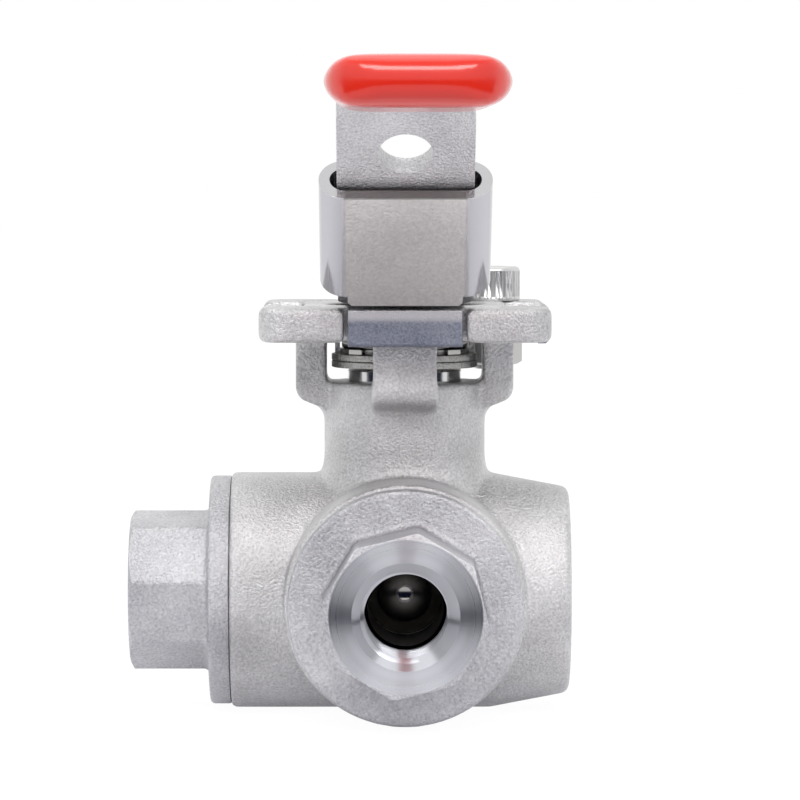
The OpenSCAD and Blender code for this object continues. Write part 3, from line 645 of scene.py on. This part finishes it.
# The grip: vinyl dipped over the end of the lever, thick, smooth and glossy, red with an orange tinge.
# Dipping rounds it off all over and leaves its two sides a little thinner than its middle.
grip_voxel = 0.00045
grip_shift = 0.0011
side_taper = 0.16
flow_size = 0.02
ripple_size = 0.004
vinyl, tree, resin = new_finish("dipped vinyl, glossy red")
where = part(tree, "TexCoord").outputs["Object"]
flow = part(tree, "TexNoise", Vector=where, Scale=1 / flow_size, Detail=2.0).outputs["Fac"]
tones = part(tree, "ValToRGB", Fac=flow)
for stop, place, colour in zip(tones.color_ramp.elements, (0.3, 0.7), ("#d01f10", "#dd2c16")):
    stop.position = place
    stop.color = linear(colour)
ripple = part(tree, "TexNoise", Vector=where, Scale=1 / ripple_size, Detail=1.0).outputs["Fac"]
relief = part(tree, "Bump", Strength=0.25, Distance=0.00004, Height=ripple)
feed(resin, Base_Color=tones, Normal=relief, Roughness=0.22, IOR=1.5)
feed(resin, Coat_Weight=0.5, Coat_Roughness=0.1, Coat_IOR=1.5, Sheen_Weight=0.1, Sheen_Roughness=0.35)
feed(resin, Subsurface_Weight=0.08, Subsurface_Radius=(0.004, 0.001, 0.0005))
grip = copied("handle_grip", "dipped_grip")
full = grip.dimensions.copy()
middle = sum((Vector(corner) for corner in grip.bound_box), Vector()) / 8
finish_with(grip, "REMESH", mode="VOXEL", voxel_size=grip_voxel)
finish_with(grip, "SMOOTH", factor=0.5, iterations=60)
grown = Matrix.Diagonal([full[i] / grip.dimensions[i] for i in range(3)] + [1])
grip.data.transform(Matrix.Translation(middle) @ grown @ Matrix.Translation(-middle))
for corner in grip.data.vertices:
    side = abs(corner.co.x - middle.x) / full.x * 2
    corner.co.z = middle.z + (corner.co.z - middle.z) * (1 - side_taper * side ** 4)
    corner.co.x += grip_shift
grip.data.materials.append(vinyl)
smooth_shaded(grip, 60)
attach(grip, "stem_and_lever")
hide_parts("handle_grip")

# The lock sleeve: a flattened tube of 1.5 mm stainless sheet that slides on the riser, with a tongue at its
# foot. Its wide faces are satin and a little warm, its rounded sides polished, and its upper end painted
# darker as shade.
flat_half = 0.0081
round_half = 0.0088
end_from = 0.0003
end_full = 0.0002
sleeve_edge = 0.00025
lock_steel = blasted_steel("stainless sheet, satin with polished sides", "#e4e0dd", "#cac6c4", 0.0005, 0.32)
tree = lock_steel.node_tree
where = part(tree, "TexCoord").outputs["Object"]
across = part(tree, "SeparateXYZ", Vector=where).outputs["X"]
side = part(tree, "Math", {"operation": "ABSOLUTE"}, s0=across)
polish = part(tree, "MapRange", s0=side, s1=flat_half, s2=round_half)
relief = part(tree, "MapRange", s0=polish, s3=0.2, s4=0.02)
feed(tree.nodes["Bump"], Strength=relief)
feed(tree.nodes["Bump.001"], Strength=relief)
face_tone = tree.nodes["Color Ramp"]
side_tone = part(tree, "MixRGB", Fac=polish, Color1=face_tone, Color2=linear("#bab9bd"))
riser_way = Vector((0, -1, 1)).normalized()
sleeve_end = max(corner.co.dot(riser_way) for corner in frame["nodes"]["lock_sleeve"].data.vertices)
along = part(tree, "VectorMath", {"operation": "DOT_PRODUCT"}, s0=where, s1=riser_way).outputs["Value"]
# Painted shade: the upper end of the sleeve, at its mouth, is mixed to a darker grey
end_shade_mask = part(tree, "MapRange", s0=along, s1=sleeve_end - end_from, s2=sleeve_end - end_full)
end_shade_tone = part(tree, "MixRGB", Fac=polish, Color1=linear("#9a9795"), Color2=linear("#c3c2c3"))
tone = part(tree, "MixRGB", Fac=end_shade_mask, Color1=side_tone, Color2=end_shade_tone)
gloss = part(tree, "MapRange", s0=polish, s3=0.32, s4=0.15)
feed(tree.nodes["Principled BSDF"], Base_Color=tone, Roughness=gloss)
softened("lock_sleeve", "padlock_sleeve", lock_steel, "lock", sleeve_edge)

# The stop screw: an M5 socket cap screw with a knurled head, through the right back lug, and its nut below.
# The knurl is a ring of fine straight teeth, rolled into the side of the head.
screw_place = (0.01273, 0.01273, 0)
knurl_r = 0.00426
knurl_mid = 0.04385
knurl_h = 0.0037
knurl_teeth = 48
knurl_root = 0.95
screw_edge = 0.0002
screw_nut_edge = 0.00018
screw_steel = bare_steel("stainless steel screw, satin", "#d6d5d4", 0.32)
screw = softened("stop_screw", "socket_cap_screw", screw_steel, "valve_body", screw_edge)
bpy.ops.mesh.primitive_cylinder_add(vertices=2 * knurl_teeth, radius=knurl_r, depth=0.006,
                                    location=(0, 0, knurl_mid))
knurl = bpy.context.object
bpy.ops.object.transform_apply(location=True, rotation=True, scale=True)
for corner in knurl.data.vertices:
    turn = math.degrees(math.atan2(corner.co.y, corner.co.x))
    if round(turn * 2 * knurl_teeth / 360) % 2:
        corner.co.xy *= knurl_root
bpy.ops.mesh.primitive_cylinder_add(vertices=64, radius=0.006, depth=knurl_h, location=(0, 0, knurl_mid))
tube = bpy.context.object
bpy.ops.object.transform_apply(location=True, rotation=True, scale=True)
cut_by(tube, knurl)
tube.data.transform(Matrix.Translation(screw_place))
cut_by(screw, tube)
smooth_shaded(screw, 30)
softened("stop_screw_nut", "cap_screw_nut", nut_steel, "valve_body", screw_nut_edge)
